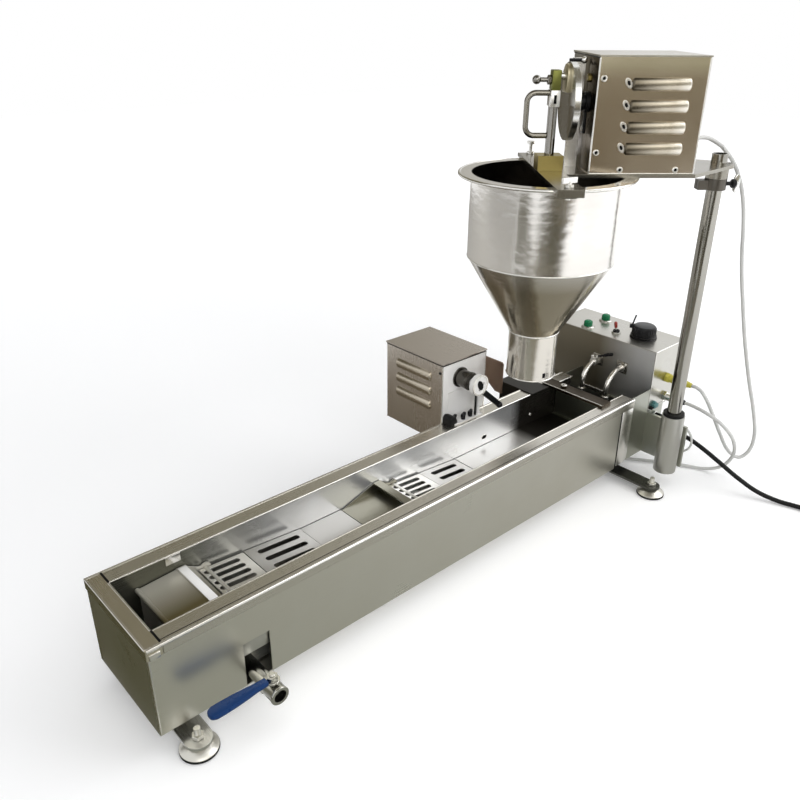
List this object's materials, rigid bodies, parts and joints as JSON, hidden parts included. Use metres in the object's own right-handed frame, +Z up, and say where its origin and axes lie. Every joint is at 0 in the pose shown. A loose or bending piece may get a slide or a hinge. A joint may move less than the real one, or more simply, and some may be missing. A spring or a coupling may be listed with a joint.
{
  "type": "donut machine",
  "caption": "Table-top automatic donut machine: oil trough with flippers, dough hopper and plunger on a swivel arm, control box, drain valve and levelling feet.",
  "frame": {"origin": "middle of the machine's footprint on the surface that it stands on", "axes": "+X along the trough to the control box, +Y to the flippers' drive box, +Z up"},
  "size_m": [1.0688, 0.712, 0.7],
  "materials": {
    "satin_steel": "satin",
    "dark_steel": "satin",
    "bright_steel": "polished",
    "chrome_tube": "polished",
    "brown_steel": "satin",
    "brass": "satin",
    "black_plastic": "satin",
    "black_rubber": "matt",
    "grey_lead": "matt",
    "pale_plastic": "matt",
    "yellow_plastic": "satin",
    "green_plastic": "gloss",
    "blue_sleeve": "gloss"
  },
  "bodies": {
    "frame": {"casing": "satin_steel", "rim_rails": "satin_steel", "end_cap": "satin_steel", "oil_tank": "bright_steel", "lane_plates": "bright_steel", "turn_slide": "bright_steel", "discharge_chute": "bright_steel", "cross_bar": "dark_steel", "heater_element": "chrome_tube", "stand": "dark_steel", "post_socket": "satin_steel", "socket_bush": "black_rubber", "post": "bright_steel", "foot_bars": "dark_steel", "drain_valve": "chrome_tube", "drive_box": "satin_steel", "drive_lid": "satin_steel", "drive_motor": "black_plastic", "drive_bracket": "bright_steel", "bracket_screws": "black_plastic", "splash_guard": "brown_steel", "junction_box": "dark_steel", "control_box": "satin_steel", "panel_bushings": "black_plastic", "control_gear": "pale_plastic", "glands": "yellow_plastic", "dispenser_lead": "grey_lead", "drive_lead": "grey_lead", "probe_lead": "grey_lead", "mains_cord": "black_rubber", "mains_coil": "black_rubber", "mains_plug": "black_rubber"},
    "foot_1": {"foot_1": "bright_steel"},
    "foot_2": {"foot_2": "bright_steel"},
    "foot_3": {"foot_3": "bright_steel"},
    "foot_4": {"foot_4": "bright_steel"},
    "valve_lever": {"valve_lever": "blue_sleeve"},
    "drive_crank": {"drive_crank": "bright_steel"},
    "push_link": {"push_link": "black_plastic"},
    "turn_flipper": {"turn_flipper": "bright_steel"},
    "discharge_flipper": {"discharge_flipper": "bright_steel"},
    "button_1": {"button_1": "green_plastic"},
    "button_2": {"button_2": "green_plastic"},
    "toggle_lever": {"toggle_lever": "chrome_tube"},
    "thermostat_knob": {"thermostat_knob": "black_plastic"},
    "clamp_knob": {"clamp_knob": "black_plastic"},
    "crank_wheel": {"crank_wheel": "dark_steel"},
    "thumbscrew_1": {"thumbscrew_1": "bright_steel"},
    "thumbscrew_2": {"thumbscrew_2": "bright_steel"},
    "collar": {"stop_collar": "dark_steel"},
    "arm": {"arm_plate": "satin_steel", "bridge_bar": "satin_steel", "guide_block": "brass", "hopper": "bright_steel", "dispenser_box": "satin_steel", "dispenser_lid": "satin_steel", "dispenser_motor": "black_plastic", "column_plate": "satin_steel"},
    "plunger_rod": {"plunger": "brass", "lift_handle": "bright_steel"}
  },
  "joints": [
    {"name": "foot_1_turn", "type": "hinge", "parent": "frame", "child": "foot_1", "pos_m": [-0.4885, -0.117, 0.02], "axis": [0, 0, 1], "continuous": true},
    {"name": "foot_2_turn", "type": "hinge", "parent": "frame", "child": "foot_2", "pos_m": [-0.4885, 0.067, 0.02], "axis": [0, 0, 1], "continuous": true},
    {"name": "foot_3_turn", "type": "hinge", "parent": "frame", "child": "foot_3", "pos_m": [0.3585, -0.163, 0.02], "axis": [0, 0, 1], "continuous": true},
    {"name": "foot_4_turn", "type": "hinge", "parent": "frame", "child": "foot_4", "pos_m": [0.3585, 0.113, 0.02], "axis": [0, 0, 1], "continuous": true},
    {"name": "valve_turn", "type": "hinge", "parent": "frame", "child": "valve_lever", "pos_m": [-0.4015, -0.14, 0.062], "axis": [0, 0, 1], "range_deg": [0, 90]},
    {"name": "drive_crank_turn", "type": "hinge", "parent": "frame", "child": "drive_crank", "pos_m": [0.0955, 0.013, 0.227], "axis": [0, 1, 0], "continuous": true},
    {"name": "turn_flip", "type": "hinge", "parent": "frame", "child": "turn_flipper", "pos_m": [-0.0715, -0.025, 0.109], "axis": [0, -1, 0], "range_deg": [0, 135]},
    {"name": "discharge_flip", "type": "hinge", "parent": "frame", "child": "discharge_flipper", "pos_m": [-0.3875, -0.025, 0.117], "axis": [0, -1, 0], "range_deg": [0, 135]},
    {"name": "push_link_lift", "type": "slide", "parent": "frame", "child": "push_link", "axis": [0, 0, 1], "range_m": [0, 0.01]},
    {"name": "button_1_press", "type": "slide", "parent": "frame", "child": "button_1", "axis": [0, 0, 1], "range_m": [-0.004, 0], "stiffness_N_per_m": 250, "springref_m": 0.002},
    {"name": "button_2_press", "type": "slide", "parent": "frame", "child": "button_2", "axis": [0, 0, 1], "range_m": [-0.004, 0], "stiffness_N_per_m": 250, "springref_m": 0.002},
    {"name": "toggle_tilt", "type": "hinge", "parent": "frame", "child": "toggle_lever", "pos_m": [0.4565, 0.006, 0.224], "axis": [0, 1, 0], "range_deg": [0, 30]},
    {"name": "knob_turn", "type": "hinge", "parent": "frame", "child": "thermostat_knob", "pos_m": [0.4765, -0.038, 0.235], "axis": [0, 0, 1], "range_deg": [0, 270]},
    {"name": "collar_height", "type": "slide", "parent": "frame", "child": "collar", "axis": [0, 0, 1], "range_m": [-0.02, 0.012], "deforming": ["dispenser_lead"]},
    {"name": "clamp_turn", "type": "hinge", "parent": "collar", "child": "clamp_knob", "pos_m": [0.42848, -0.17628, 0.5217], "axis": [0.766, -0.6428, 0], "continuous": true},
    {"name": "arm_swivel", "type": "hinge", "parent": "collar", "child": "arm", "pos_m": [0.4055, -0.157, 0.548], "axis": [0, 0, 1], "range_deg": [0, 75], "deforming": ["dispenser_lead"]},
    {"name": "dispenser_crank_turn", "type": "hinge", "parent": "arm", "child": "crank_wheel", "pos_m": [0.18881, -0.03875, 0.64], "axis": [-0.766, 0.6428, 0], "continuous": true},
    {"name": "plunger_stroke", "type": "slide", "parent": "arm", "child": "plunger_rod", "axis": [0, 0, 1], "range_m": [0, 0.03]},
    {"name": "thumbscrew_1_turn", "type": "hinge", "parent": "arm", "child": "thumbscrew_1", "pos_m": [0.08719, -0.12657, 0.555], "axis": [0, 0, 1], "continuous": true},
    {"name": "thumbscrew_2_turn", "type": "hinge", "parent": "arm", "child": "thumbscrew_2", "pos_m": [0.25765, 0.07658, 0.555], "axis": [0, 0, 1], "continuous": true}
  ],
  "couplings": [
    {"joint": "discharge_flip", "follows": "turn_flip", "ratio": 1},
    {"joint": "push_link_lift", "follows": "turn_flip", "m_per_rad": 0.004}
  ]
}
